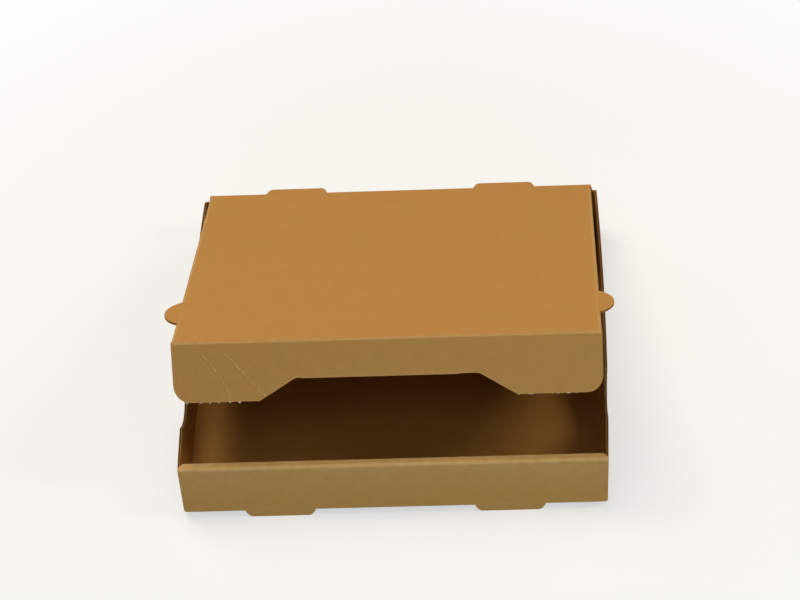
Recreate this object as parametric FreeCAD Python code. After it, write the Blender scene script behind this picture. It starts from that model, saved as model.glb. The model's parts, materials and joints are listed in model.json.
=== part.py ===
import FreeCAD, Part
import math
import os

# Pizza box folded from one sheet of corrugated board, with its lid ajar.
# Millimetres. It is drawn in the tray's own frame first: X to the right, Y from the front wall's outer
# face to the back, Z up from the underside of the floor panel. Then it is tipped back onto its feet.

# Board
board = 1.6                 # thickness of the sheet
bend_radius = 1.0           # of the sheet's middle, at a crease
layer_gap = 0.3             # between two layers that lie against each other
crease_gap = 0.2            # between a hinged panel's round edge and the panel that carries it

# Tray
tray_depth = 308.0          # outer face of the front wall to outer face of the back wall
wall_height = 43.4
floor_width = 302.6         # over the bottom creases of the side walls
front_width = 304.4         # over the side walls' top edges, at the front
middle_width = 311.0        # the same halfway along, where the walls bow outwards
rear_width = 307.8          # the same at the rear ends
back_wall_inset = 0.9       # of the back wall's ends from the floor's
rear_flap_gap = 1.4         # between the rear corner flaps and the back wall
roll_depth = 7.4            # strip that the front wall rolls over, outer face to inner face
inner_wall_foot = 5.4       # inner face of the locked front panel at the floor
inner_wall_clearance = 0.7  # between the locked front panel and each side wall
corner_flap_length = 44.0
corner_flap_drop = 1.2      # below the side wall's top edge

# Feet and the locking tabs in the slots that they were cut from
foot_inner = 57.2           # end of a foot nearer the middle, from the centre
foot_length = 49.8
foot_height = 4.6
foot_slope = 3.2            # how much each end of a foot runs in towards its bottom
foot_corner = 1.6
slot_depth = 7.0            # slot behind the front wall's outer face
lock_tab_drop = 2.4         # below the floor's underside
lock_tab_shift = 2.0        # the tab lies this much further out than the foot
lock_tab_clearance = 0.6    # between the tab's ends and the slot's ends

# Recess in each side wall's top edge, below the lid's ear
recess_depth = 10.0
recess_clearance = 6.0      # beyond the ear at each end

# Lid, drawn closed
lid_setback = 8.0           # of the closed lid's front crease behind the rolled strip
lid_side_clearance = 0.4    # between the closed lid and each side wall's foot
lid_rest = 1.2              # height of the closed lid's underside above the side walls
lid_angle = 18.0            # how far the lid stands open
flap_floor_clearance = 0.6  # between a tucked flap and the floor
side_flap_rear_gap = 1.5    # from the rear corner flaps, lid closed
side_flap_front_gap = 2.2   # from the front crease's outer face
side_flap_front_corner = 20.0
side_flap_rear_corner = 6.0

# Ears of the lid
ear_length = 40.2
ear_reach = 10.2
ear_from_front = 54.3       # middle of the ear to the front crease

# Tabs behind the lid's rear crease
tab_inner = 57.3
tab_length = 48.0
tab_reach = 9.0             # beyond the back wall's outer face, lid closed
tab_slope = 3.0
tab_corner = 2.4
tab_clearance = 0.5         # round the tab as it swings through the back wall

# Front flap
flap_side_clearance = 0.2   # between the tucked flap and each side wall's foot
flap_lean = 6.0             # beyond square to the lid
flap_corner = 12.0
finger_cut_depth = 27.6     # crease to the cut-out's upper edge
finger_cut_width = 127.4    # along the upper edge
finger_cut_slope = 26.0     # how much each side of the cut-out spreads
finger_cut_corner = 3.0

half_board = board / 2
floor_inside = floor_width - 2 * board
back_width = floor_width - 2 * back_wall_inset
inner_wall_width = floor_inside - 2 * inner_wall_clearance
side_wall_end = tray_depth - board - rear_flap_gap
lid_width = floor_inside - 2 * lid_side_clearance
flap_width = floor_inside - 2 * flap_side_clearance
hinge_y = tray_depth - half_board
hinge_z = wall_height + lid_rest + half_board
lid_top = hinge_z + half_board
crease_y = roll_depth + lid_setback
flap_hinge_y = crease_y + half_board
flap_depth = lid_top - board - flap_floor_clearance
inner_top = roll_depth - half_board
UP = FreeCAD.Vector(0, 0, 1)
ALONG = FreeCAD.Vector(1, 0, 0)


def unit(a, b):
    """Direction from point a to point b in the plane, as a pair of length 1."""
    dx, dy = b[0] - a[0], b[1] - a[1]
    size = math.hypot(dx, dy)
    return dx / size, dy / size


def folded_wire(path, place):
    """Outline of the board's section: a line of points thickened by half a board to each side.

    Each inner point is a crease, rounded with bend_radius. place turns a pair into a point in space.
    """
    sides = []
    for side in (1, -1):
        edges, start = [], None
        for i, point in enumerate(path):
            before = unit(path[i - 1], point) if i else None
            after = unit(point, path[i + 1]) if i < len(path) - 1 else None
            if before is None or after is None:
                u = after or before
                here = (point[0] - side * half_board * u[1], point[1] + side * half_board * u[0])
                if start:
                    edges.append(Part.LineSegment(place(*start), place(*here)).toShape())
                start = here
                continue
            turn = math.atan2(before[0] * after[1] - before[1] * after[0],
                              before[0] * after[0] + before[1] * after[1])
            hand = math.copysign(1, turn)
            setback = bend_radius * math.tan(abs(turn) / 2)
            first = (point[0] - setback * before[0], point[1] - setback * before[1])
            centre = (first[0] - hand * bend_radius * before[1], first[1] + hand * bend_radius * before[0])
            radius = bend_radius - side * hand * half_board
            arc = []
            for share in (0, 0.5, 1):
                angle = turn * share
                c, s = math.cos(angle), math.sin(angle)
                u = (before[0] * c - before[1] * s, before[0] * s + before[1] * c)
                arc.append((centre[0] + hand * radius * u[1], centre[1] - hand * radius * u[0]))
            edges.append(Part.LineSegment(place(*start), place(*arc[0])).toShape())
            edges.append(Part.Arc(*[place(*p) for p in arc]).toShape())
            start = arc[2]
        sides.append((edges, start))
    (left, left_end), (right, right_end) = sides
    left_start = left[0].Vertexes[0].Point
    right_start = right[0].Vertexes[0].Point
    caps = [Part.LineSegment(place(*left_end), place(*right_end)).toShape(),
            Part.LineSegment(right_start, left_start).toShape()]
    return Part.Wire(Part.sortEdges(left + right + caps)[0])


def folded_strip(path, place, run):
    """Solid strip of folded board: its section carried along the vector run."""
    return Part.Face(folded_wire(path, place)).extrude(run)


def rounded_sheet(points, radii, place, run):
    """Flat piece of board cut to an outline whose corners are rounded by their own radii."""
    edges, ends = [], []
    count = len(points)
    for i, point in enumerate(points):
        before, after = unit(point, points[i - 1]), unit(point, points[(i + 1) % count])
        radius = radii[i]
        if not radius:
            ends.append((point, point))
            continue
        half = math.acos(before[0] * after[0] + before[1] * after[1]) / 2
        setback = radius / math.tan(half)
        first = (point[0] + setback * before[0], point[1] + setback * before[1])
        last = (point[0] + setback * after[0], point[1] + setback * after[1])
        bisector = unit((0, 0), (before[0] + after[0], before[1] + after[1]))
        reach = radius / math.sin(half) - radius
        middle = (point[0] + reach * bisector[0], point[1] + reach * bisector[1])
        edges.append(Part.Arc(place(*first), place(*middle), place(*last)).toShape())
        ends.append((first, last))
    for i in range(count):
        a, b = ends[i][1], ends[(i + 1) % count][0]
        edges.append(Part.LineSegment(place(*a), place(*b)).toShape())
    return Part.Face(Part.Wire(Part.sortEdges(edges)[0])).extrude(run)


def block(x0, x1, y0, y1, z0, z1):
    """Box between two corners."""
    return Part.makeBox(x1 - x0, y1 - y0, z1 - z0, FreeCAD.Vector(x0, y0, z0))


def mirrored(shape):
    """The same shape on the other side of the box's middle plane."""
    return shape.mirror(FreeCAD.Vector(0, 0, 0), ALONG)


def join(shapes):
    """One solid from several that meet."""
    return shapes[0].multiFuse(shapes[1:]).removeSplitter()


def across(x):
    """Place section points (y, z) at the given x."""
    return lambda y, z: FreeCAD.Vector(x, y, z)


def at_height(z):
    """Place outline points (x, y) at the given height."""
    return lambda x, y: FreeCAD.Vector(x, y, z)


def at_depth(y):
    """Place outline points (x, z) at the given distance from the front."""
    return lambda x, z: FreeCAD.Vector(x, y, z)


def tray_spine():
    """Back wall, floor, front wall, roll-over and locked inner panel: one strip folded four times."""
    back_top = hinge_z - half_board - crease_gap
    rear = (tray_depth - half_board, half_board)
    front = (half_board, half_board)
    top = (half_board, wall_height - half_board)
    roll = (inner_top, wall_height - half_board)
    foot = (inner_wall_foot - half_board, board + layer_gap)
    narrow = inner_wall_width / 2
    spine = folded_strip([(rear[0], back_top), rear, front, top, roll, foot],
                         across(-narrow), ALONG * inner_wall_width)
    back = folded_strip([(rear[0], back_top), rear, (rear[0] - roll_depth, half_board)],
                        across(-back_width / 2), ALONG * back_width)
    floor_half = floor_width / 2 - bend_radius - half_board
    floor = block(-floor_half, floor_half, bend_radius + half_board,
                  tray_depth - bend_radius - half_board, 0, board)
    return join([spine, back, floor])


def front_wall_end():
    """What the front wall and its rolled strip have beyond the inner panel, on the right."""
    narrow = inner_wall_width / 2
    wall = Part.Face(Part.makePolygon([FreeCAD.Vector(x, 0, z) for x, z in (
        (narrow, bend_radius + half_board), (floor_width / 2, bend_radius + half_board),
        (front_width / 2, wall_height - bend_radius - half_board),
        (narrow, wall_height - bend_radius - half_board),
        (narrow, bend_radius + half_board))])).extrude(FreeCAD.Vector(0, board, 0))
    section = [(half_board, wall_height - 2 * roll_depth), (half_board, wall_height - half_board),
               (inner_top, wall_height - half_board)]
    strip = folded_strip(section, across(narrow), ALONG * (front_width / 2 - narrow))
    chamfer = Part.Face(Part.makePolygon([FreeCAD.Vector(x, y, wall_height - 2 * board) for x, y in (
        (front_width / 2, board), (narrow, roll_depth), (narrow, 2 * roll_depth),
        (2 * front_width, 2 * roll_depth), (2 * front_width, board),
        (front_width / 2, board))])).extrude(UP * 4 * board)
    keep = Part.Face(Part.makePolygon([FreeCAD.Vector(x, -board, z) for x, z in (
        (0, 0), (floor_width / 2, 0), (front_width / 2, wall_height), (front_width / 2, 2 * wall_height),
        (0, 2 * wall_height), (0, 0))])).extrude(FreeCAD.Vector(0, 2 * roll_depth, 0))
    return join([wall, strip.cut(chamfer)]).common(keep)


def foot():
    """Tongue below the front wall on the right, in the wall's own plane."""
    outer = foot_inner + foot_length
    points = [(foot_inner, bend_radius + half_board), (foot_inner, 0),
              (foot_inner + foot_slope, -foot_height), (outer - foot_slope, -foot_height),
              (outer, 0), (outer, bend_radius + half_board)]
    radii = [0, 0, foot_corner, foot_corner, 0, 0]
    return rounded_sheet(points, radii, at_depth(0), FreeCAD.Vector(0, board, 0))


def foot_slot():
    """Slot in the floor that the foot came from, with room for the locking tab."""
    inner = foot_inner + lock_tab_shift - lock_tab_clearance
    outer = foot_inner + foot_length + lock_tab_shift + lock_tab_clearance
    return block(inner, outer, board, slot_depth, -board, board + layer_gap / 2)


def lock_tab():
    """Tongue of the inner panel that goes down through the slot and holds it."""
    inner = foot_inner + lock_tab_shift
    outer = inner + foot_length
    z_low = -lock_tab_drop
    points = [(inner, board + bend_radius * 2), (inner, 0), (inner + foot_slope, z_low),
              (outer - foot_slope, z_low), (outer, 0), (outer, board + bend_radius * 2)]
    radii = [0, 0, foot_corner / 2, foot_corner / 2, 0, 0]
    drop = wall_height - half_board - board - layer_gap
    lean = (inner_top - inner_wall_foot + half_board) / drop
    outer_face = inner_wall_foot - board - lean * (board + layer_gap)

    def on_leaning_panel(x, z):
        return FreeCAD.Vector(x, outer_face + lean * z, z)

    return rounded_sheet(points, radii, on_leaning_panel, FreeCAD.Vector(0, board, 0))


def side_wall():
    """Right side wall with its bottom crease, lofted through three sections so that its top edge bows."""
    start = board + layer_gap
    stations = ((start, front_width), ((start + side_wall_end) / 2, middle_width),
                (side_wall_end - bend_radius - half_board, rear_width))
    crease = (floor_width / 2 - half_board, half_board)
    inner = (crease[0] - 3 * bend_radius, half_board)
    wires = []
    for y, width in stations:
        wires.append(folded_wire([inner, crease, (width / 2 - half_board, wall_height)], at_depth(y)))
    return Part.makeLoft(wires, True, False)


def side_wall_recess(ear_y):
    """Shallow arc cut out of the side wall's top edge, where the ear comes down."""
    half = ear_length / 2 + recess_clearance
    low = wall_height - recess_depth
    radius = (half * half + recess_depth * recess_depth) / (2 * recess_depth)
    return Part.makeCylinder(radius, front_width, FreeCAD.Vector(0, ear_y, low + radius), ALONG)


def corner_flap(y_outer, width, towards):
    """Corner flap on the right, folded inwards at one end of the side wall.

    y_outer is the face that looks out of the box, width the span over the walls there, and towards
    is 1 where the side wall lies behind the flap and -1 where it lies in front.
    """
    wires = []
    end = floor_width / 2 - board - corner_flap_length
    y_middle = y_outer + towards * half_board
    y_wall = y_middle + towards * (bend_radius + half_board)
    z_low, z_high = board + layer_gap, wall_height - corner_flap_drop
    for z in (z_low, z_high):
        x = (floor_width + (width - floor_width) * z / wall_height) / 2 - half_board
        wires.append(folded_wire([(end, y_middle), (x, y_middle), (x, y_wall)], at_height(z)))
    return Part.makeLoft(wires, True, True)


def back_cut_out():
    """Hole in the back wall that the lid's rear tab was cut from and swings through."""
    swing = tab_reach + board + tab_clearance
    return block(tab_inner - tab_clearance, tab_inner + tab_length + tab_clearance,
                 hinge_y - 4 * board, tray_depth + board, hinge_z - swing, hinge_z + board)


def make_tray():
    """Floor, walls, feet, locking tabs and corner flaps, as one folded sheet."""
    ear_y = crease_y + ear_from_front
    right = [front_wall_end(), foot(), corner_flap(board + layer_gap, front_width, 1),
             corner_flap(side_wall_end, rear_width, -1),
             side_wall().cut(side_wall_recess(ear_y))]
    cuts = [foot_slot(), back_cut_out()]
    spine = tray_spine()
    for cut in cuts:
        spine = spine.cut(cut).cut(mirrored(cut))
    right.append(lock_tab())
    return join([spine] + right + [mirrored(shape) for shape in right])


def ear():
    """Half-oval ear at the right edge of the lid, in the lid's own plane."""
    centre = FreeCAD.Vector(lid_width / 2 - half_board, crease_y + ear_from_front, lid_top - board)
    reach = ear_reach + half_board
    oval = Part.Ellipse(centre + FreeCAD.Vector(0, ear_length / 2, 0),
                        centre + FreeCAD.Vector(reach, 0, 0), centre)
    solid = Part.Face(Part.Wire(oval.toShape())).extrude(UP * board)
    keep = block(centre.x - half_board, centre.x + 2 * reach, centre.y - ear_length,
                 centre.y + ear_length, 0, 2 * lid_top)
    return solid.common(keep)


def ear_hole():
    """Half-oval hole that the ear leaves in the side flap, from the crease downwards."""
    centre = FreeCAD.Vector(lid_width / 2 - 2 * board, crease_y + ear_from_front, hinge_z)
    oval = Part.Ellipse(centre + FreeCAD.Vector(0, ear_length / 2, 0),
                        centre + FreeCAD.Vector(0, 0, ear_reach), centre)
    solid = Part.Face(Part.Wire(oval.toShape())).extrude(ALONG * 4 * board)
    keep = block(centre.x, centre.x + 4 * board, centre.y - ear_length, centre.y + ear_length,
                 0, lid_top - board)
    return solid.common(keep)


def rear_tab():
    """Tab on the right behind the lid's rear crease, in the lid's own plane."""
    outer = tab_inner + tab_length
    y_end = tray_depth + tab_reach
    points = [(tab_inner, hinge_y - board), (tab_inner, hinge_y), (tab_inner + tab_slope, y_end),
              (outer - tab_slope, y_end), (outer, hinge_y), (outer, hinge_y - board)]
    radii = [0, 0, tab_corner, tab_corner, 0, 0]
    return rounded_sheet(points, radii, at_height(lid_top - board), UP * board)


def make_lid():
    """Lid panel with its side flaps, ears and rear tabs, drawn closed."""
    side = lid_width / 2 - half_board
    low = lid_top - flap_depth
    y_front = crease_y + side_flap_front_gap
    y_rear = side_wall_end - board - side_flap_rear_gap
    section = [(-side, low), (-side, hinge_z), (side, hinge_z), (side, low)]
    tunnel = folded_strip(section, at_depth(y_front), FreeCAD.Vector(0, y_rear - y_front, 0))
    for y, radius, sign in ((y_front, side_flap_front_corner, 1), (y_rear, side_flap_rear_corner, -1)):
        corner = block(-lid_width, lid_width, min(y, y + sign * radius), max(y, y + sign * radius),
                       low, low + radius)
        round_part = Part.makeCylinder(radius, 2 * lid_width,
                                       FreeCAD.Vector(-lid_width, y + sign * radius, low + radius), ALONG)
        tunnel = tunnel.cut(corner.cut(round_part))
    panel_front = flap_hinge_y + half_board + crease_gap
    half = lid_width / 2
    panel = block(-half, half, panel_front, y_front + board, lid_top - board, lid_top)
    rear = block(-half, half, y_rear - board, hinge_y, lid_top - board, lid_top)
    knuckle = Part.makeCylinder(half_board, lid_width, FreeCAD.Vector(-half, hinge_y, hinge_z), ALONG)
    pieces = [tunnel.cut(ear_hole()).cut(mirrored(ear_hole())), panel, rear, knuckle]
    for shape in (ear(), rear_tab()):
        pieces += [shape, mirrored(shape)]
    return join(pieces)


def make_front_flap():
    """Front flap with its finger cut-out, drawn square to the closed lid, with a round hinge edge."""
    half, cut = flap_width / 2, finger_cut_width / 2
    spread = cut + finger_cut_slope
    top, low, cut_top = hinge_z, lid_top - flap_depth, lid_top - finger_cut_depth
    points = [(-half, top), (-half, low), (-spread, low), (-cut, cut_top),
              (cut, cut_top), (spread, low), (half, low), (half, top)]
    radii = [0, flap_corner, 0, finger_cut_corner, finger_cut_corner, 0, flap_corner, 0]
    sheet = rounded_sheet(points, radii, at_depth(crease_y), FreeCAD.Vector(0, board, 0))
    knuckle = Part.makeCylinder(half_board, flap_width,
                                FreeCAD.Vector(-half, flap_hinge_y, hinge_z), ALONG)
    return join([sheet, knuckle])


os.makedirs("parts", exist_ok=True)
lid_hinge = FreeCAD.Vector(0, hinge_y, hinge_z)
flap_hinge = FreeCAD.Vector(0, flap_hinge_y, hinge_z)

tray = make_tray()
lid = make_lid()
front_flap = make_front_flap()

# The flap leans out from the lid, and both turn up about the lid's rear crease
front_flap.rotate(flap_hinge, ALONG, -flap_lean)
lid.rotate(lid_hinge, ALONG, -lid_angle)
front_flap.rotate(lid_hinge, ALONG, -lid_angle)
turn = FreeCAD.Rotation(ALONG, -lid_angle)
flap_hinge = lid_hinge + turn.multVec(flap_hinge - lid_hinge)

# The box stands on its feet in front and on its bottom crease behind
tip_back = math.degrees(math.atan2(foot_height, tray_depth - board - bend_radius - half_board))
nodes = {"tray": tray, "lid": lid, "front_flap": front_flap}
for shape in nodes.values():
    shape.rotate(FreeCAD.Vector(0, 0, 0), ALONG, -tip_back)
bounds = FreeCAD.BoundBox()
for shape in nodes.values():
    bounds.add(shape.optimalBoundingBox(False))
shift = FreeCAD.Vector(0, -bounds.Center.y, -bounds.ZMin)
settle = FreeCAD.Rotation(ALONG, -tip_back)
for name, shape in nodes.items():
    shape.translate(shift)
    shape.exportStep("parts/" + name + ".step")
    print(name, "volume", round(shape.Volume), "solids", len(shape.Solids), "valid", shape.isValid())
for name, point in (("lid hinge", lid_hinge), ("flap hinge", flap_hinge)):
    place = settle.multVec(point) + shift
    print(name, "at", [round(v, 4) for v in place])
print("tipped back", round(tip_back, 4), "degrees, shifted", [round(v, 4) for v in shift])
print("size", round(bounds.XLength, 2), round(bounds.YLength, 2), round(bounds.ZLength, 2))
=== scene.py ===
# %% [markdown]
# # A pizza box of corrugated board
#
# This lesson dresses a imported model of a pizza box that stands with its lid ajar. The real box is one
# die-cut sheet of kraft board, folded along creases, with no glue. So the lesson works on that one sheet:
# it finds where each point of the flat sheet ends up once it is folded, and lays paper there.
# Lengths are written in millimetres, and one function at the end of the folding turns them to metres.

# %% Load the frame
import json
import math

import bpy
import numpy as np
from mathutils import Matrix


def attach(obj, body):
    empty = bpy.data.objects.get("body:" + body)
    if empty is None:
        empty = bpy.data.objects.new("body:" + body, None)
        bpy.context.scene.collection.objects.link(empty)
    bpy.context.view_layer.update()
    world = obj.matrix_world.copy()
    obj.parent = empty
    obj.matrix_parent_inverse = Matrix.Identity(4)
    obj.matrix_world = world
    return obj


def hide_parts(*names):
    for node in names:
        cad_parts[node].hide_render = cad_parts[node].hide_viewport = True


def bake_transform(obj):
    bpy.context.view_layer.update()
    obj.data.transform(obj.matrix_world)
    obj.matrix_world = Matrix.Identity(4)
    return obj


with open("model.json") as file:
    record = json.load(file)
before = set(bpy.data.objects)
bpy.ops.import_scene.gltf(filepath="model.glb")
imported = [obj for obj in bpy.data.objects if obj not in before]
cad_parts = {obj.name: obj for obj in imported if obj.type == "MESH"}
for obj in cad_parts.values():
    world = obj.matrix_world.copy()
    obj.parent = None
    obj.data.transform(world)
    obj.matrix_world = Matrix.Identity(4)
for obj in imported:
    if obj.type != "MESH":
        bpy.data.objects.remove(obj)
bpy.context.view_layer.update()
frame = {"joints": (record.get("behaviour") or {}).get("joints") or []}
hinges = {joint["name"]: np.array(joint["pos_m"]) for joint in frame["joints"]}

# %% [markdown]
# ## The board
#
# The box is cut from thin three-ply board about 1.6 mm thick, the kind with about 90 small waves to
# 300 mm. Two flat papers, the liners, are glued to the crests of a wavy one, the fluting. The waves run
# from the left of the box to the right, so their ends show wherever the sheet is cut across them: along
# the tops of the side walls, and at the ends of the front wall and the flap.

# %% Board and crease sizes
BOARD = 1.6
LINER = 0.24                # one flat paper
FLUTING = 0.18              # the wavy paper
FLUTE_PITCH = 3.3
WAVE_STEP = FLUTE_PITCH / 12        # between two rows of the wavy paper
LONG_WAVE_STEP = FLUTE_PITCH / 10   # the same on the two largest panels, which keeps them light
BEND = 1.0                  # radius of the sheet's middle at a crease
FLAP_BEND = 0.7             # the same at the flap's crease, which is scored deeper
QUARTER = BEND * np.pi / 2  # length of the sheet's middle in a quarter turn
CRUSH = 0.4                 # share of its thickness that the board loses in a crease
MARK = 0.6                  # a crease shows this far beside its bend
LAYER_GAP = 0.3             # between two layers of board that lie together
HALF = BOARD / 2
WAVE = (BOARD - 2 * LINER - FLUTING) / 2
print("wave height", round(2 * WAVE, 2), "mm,", round(300 / FLUTE_PITCH), "waves to 300 mm")

# %% [markdown]
# ## Sizes of the folded box
#
# The tray has a frame of its own: X to the right, Y from the front wall to the back, Z up from the
# underside of the floor. The box stands on two feet in front, so it leans back by less than a degree.
# The lid is 18 degrees open, and its front flap hangs a little further out than square.

# %% Tray, lid and flap sizes
DEPTH = 308.0
WALL = 43.4
FLOOR_WIDTH = 302.6
ROLL = 7.4                  # strip that the front wall rolls over
ROLL_FOOT = 5.4             # inner face of the locked front panel, at the floor
INNER_HALF = 149.0          # half the width of the locked front panel
FRONT_HALF = 152.2          # half the width over the top edges, in front
MIDDLE_HALF = 155.5         # halfway along, where the side walls bow outwards
REAR_HALF = 153.9
BACK_HALF = 150.4
SIDE_START = BOARD + LAYER_GAP
REAR_PLAY = 1.4             # from the side walls' ends to the back wall
SIDE_END = DEPTH - BOARD - REAR_PLAY
CORNER_LENGTH = 44.0
CORNER_DROP = 1.2           # the corner flaps are this much lower than the walls
FOOT = 4.6
LID_ANGLE = math.radians(18)
FLAP_LEAN = math.radians(6)
LID_HALF = 149.3
FLAP_HALF = 149.5
LID_REACH = 291.0           # from the rear hinge to the front one
FLAP_DEPTH = 43.2           # below the front hinge
HINGE_Y = DEPTH - HALF
HINGE_RISE = 1.2            # the lid's underside above the walls, at its hinge
HINGE_Z = WALL + HINGE_RISE + HALF
tip_back = math.atan2(FOOT, DEPTH - BOARD - BEND - HALF)
print("leans back", round(math.degrees(tip_back), 3), "degrees")

# %% [markdown]
# ## The sheet seen from the side
#
# From the side the sheet is one line: up the locked front panel, over the rolled strip, down the front
# wall, along the floor, up the back wall, forward along the lid and down the front flap. Walking along
# it, the heading stays the same on a panel and turns evenly through a crease. So the heading is a broken
# line over the distance walked, and the place is the running sum of small steps.


# %% The folded line
class FoldedLine:
    """A line of straight panels joined by round creases, for distances measured along it.

    Heading: a broken line over the distance, flat on panels and rising evenly through each crease.
    Place: the running sum of steps of length STEP in that heading, from the first corner.
    """

    STEP = 0.02
    ROWS = 7                    # of a grid, through each crease

    def __init__(self, corners, radii):
        corners = np.array(corners, float)
        runs = np.diff(corners, axis=0)
        lengths = np.hypot(*runs.T)
        headings = np.unwrap(np.arctan2(runs[:, 1], runs[:, 0]))
        turns = np.diff(headings)
        setbacks = np.array(radii) * np.tan(turns / 2)
        arcs = np.array(radii) * turns
        flats = lengths - np.append(0, setbacks) - np.append(setbacks, 0)
        self.starts = np.cumsum(flats[:-1]) + np.append(0, np.cumsum(arcs)[:-1])
        self.ends = self.starts + arcs
        self.length = flats.sum() + arcs.sum()
        knots = np.stack([self.starts, self.ends], 1).ravel()
        values = np.stack([headings[:-1], headings[1:]], 1).ravel()
        self.walk = np.arange(0, self.length, self.STEP)
        self.heading = np.interp(self.walk, knots, values)
        middle = np.interp(self.walk + self.STEP / 2, knots, values)
        step = self.STEP * np.stack([np.cos(middle), np.sin(middle)], 1)
        self.place = corners[0] + np.vstack([np.zeros(2), np.cumsum(step, axis=0)[:-1]])

    def __call__(self, s):
        """Place (y, z) and heading at distance s."""
        y = np.interp(s, self.walk, self.place[:, 0])
        z = np.interp(s, self.walk, self.place[:, 1])
        return y, z, np.interp(s, self.walk, self.heading)

    def straight_from(self, s):
        """The line that leaves this one at distance s and goes straight on, both ways."""
        y, z, heading = (float(v) for v in self(s))
        return lambda t: (y + (t - s) * math.cos(heading), z + (t - s) * math.sin(heading),
                          np.full_like(t, heading))

    def nearness(self, s):
        """1 in a crease, falling to 0 over MARK beside it."""
        gaps = [np.maximum(a - s, s - b) for a, b in zip(self.starts, self.ends)]
        return np.clip(1 - np.min(gaps, axis=0) / MARK, 0, 1)

    def pinch(self, s):
        """1 in the middle of each bend, falling evenly to 0 at its two ends."""
        middles, halves = (self.starts + self.ends) / 2, (self.ends - self.starts) / 2
        gaps = [np.abs(s - middle) / half for middle, half in zip(middles, halves)]
        return np.clip(1 - np.min(gaps, axis=0), 0, 1)

    def rows_of(self, k):
        """Rows through crease k, and one at each end of its mark."""
        inside = np.linspace(self.starts[k], self.ends[k], self.ROWS)
        return np.concatenate([[self.starts[k] - MARK], inside, [self.ends[k] + MARK]])


# %% [markdown]
# ## This box's own line
#
# The corners of the line come from the sizes above, and each crease has the radius of its bend. The
# numbers of the six creases get names, because every panel starts or ends at one.

# %% The box from the side
hinge = (HINGE_Y, HINGE_Z)
flap_hinge = (HINGE_Y - LID_REACH * math.cos(LID_ANGLE), HINGE_Z + LID_REACH * math.sin(LID_ANGLE))
flap_turn = LID_ANGLE + FLAP_LEAN
flap_end = (flap_hinge[0] - FLAP_DEPTH * math.sin(flap_turn),
            flap_hinge[1] - FLAP_DEPTH * math.cos(flap_turn))
spine = FoldedLine([(ROLL_FOOT - HALF, SIDE_START), (ROLL - HALF, WALL - HALF), (HALF, WALL - HALF),
                    (HALF, HALF), (HINGE_Y, HALF), hinge, flap_hinge, flap_end],
                   [BEND, BEND, BEND, BEND, BEND, FLAP_BEND])
roll_rear, roll_front, front_foot, back_foot, lid_crease, flap_crease = range(6)
print("sheet", round(spine.length, 1), "mm long, creases at", np.round(spine.starts, 1))

# %% [markdown]
# ## From the flat sheet to the folded box
#
# A point of the sheet has three numbers: U along the line above, V across the box from its middle, and W
# through the board from its middle layer towards the outside. Where V passes the floor's or the lid's
# edge, the sheet turns inwards once more: round a crease, then straight up a side wall or down a side
# flap. The last step leans the whole box back onto its feet and turns millimetres to metres.

# %% The folding functions
UNCREASED = 1e6             # half a width that the sheet never reaches


def stand(x, y, z):
    """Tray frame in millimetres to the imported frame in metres: a turn about X, then a shift that
    brings the lid's hinge to where the frame has it."""
    c, s = math.cos(tip_back), math.sin(tip_back)
    home = hinges["lid_hinge"]
    dy, dz = y - HINGE_Y, z - HINGE_Z
    return np.stack([x / 1000, home[1] + (dy * c + dz * s) / 1000, home[2] + (dz * c - dy * s) / 1000], -1)


def folded(u, v, w, line=spine, flat_half=UNCREASED, turn=0.0, swell=0.0):
    """Point of the folded box for a point (u, v, w) of the sheet.

    Beyond flat_half the sheet turns through an angle p that grows by 1 / BEND for each millimetre, up to
    turn, and then runs straight. Towards the middle of a bend W shrinks, by up to the share CRUSH, and
    swell lifts the sheet outwards.
    """
    y, z, heading = line(u)
    w = w * (1 - CRUSH * spine.pinch(u)) if line is spine else w
    out_y, out_z = np.sin(heading), -np.cos(heading)
    beyond = np.maximum(np.abs(v) - flat_half, 0)
    p = np.minimum(beyond / BEND, turn)
    rest = np.maximum(beyond - BEND * turn, 0)
    across = np.minimum(np.abs(v), flat_half) + BEND * np.sin(p) + rest * np.cos(p) + w * np.sin(p)
    lift = w * np.cos(p) - BEND * (1 - np.cos(p)) - rest * np.sin(p) + swell
    return stand(np.sign(v) * across, y + lift * out_y, z + lift * out_z)


miss = np.abs(folded(spine.ends[flap_crease], 0, 0) - hinges["front_flap_hinge"]).max() * 1000
print("the walk passes the front hinge within", round(miss, 2), "mm")

# %% [markdown]
# ## Closed shells
#
# Each paper of the board is a thin closed shell over the same patch of the sheet. A Solidify modifier
# could give a surface its thickness, but the cut edges need a finish of their own and slots have to stay
# open. So the two faces are made here, with a wall wherever a cell that is board meets one that isn't.


# %% A closed shell
def shell(upper, lower, keep):
    """Faces of a closed shell between two grids, as (quads, is_wall).

    Upper quads go round u then v, lower quads the other way, and each edge between a kept cell and a
    missing one gets a wall. Where the patch is left-handed in space, every quad is turned round.
    """
    nu, nv = keep.shape[0] + 1, keep.shape[1] + 1
    index = np.arange(nu * nv).reshape(nu, nv)
    a, b, c, d = index[:-1, :-1], index[1:, :-1], index[1:, 1:], index[:-1, 1:]
    under = nu * nv
    ring = np.pad(keep, 1)
    quads = [np.stack([a, b, c, d], -1)[keep], np.stack([d, c, b, a], -1)[keep] + under]
    for first, second, beside in ((a, d, ring[:-2, 1:-1]), (c, b, ring[2:, 1:-1]),
                                  (b, a, ring[1:-1, :-2]), (d, c, ring[1:-1, 2:])):
        edge = keep & ~beside
        p, q = first[edge], second[edge]
        quads.append(np.stack([p, q, q + under, p + under], -1))
    is_wall = np.repeat([False, True], [2 * keep.sum(), sum(map(len, quads[2:]))])
    quads = np.concatenate(quads)
    cells = np.argwhere(keep)
    i, j = cells[len(cells) // 2]
    normal = np.cross(upper[i + 1, j] - upper[i, j], upper[i, j + 1] - upper[i, j])
    if normal @ (upper[i, j] - lower[i, j]) < 0:
        quads = quads[:, ::-1]
    return quads, is_wall


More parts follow.
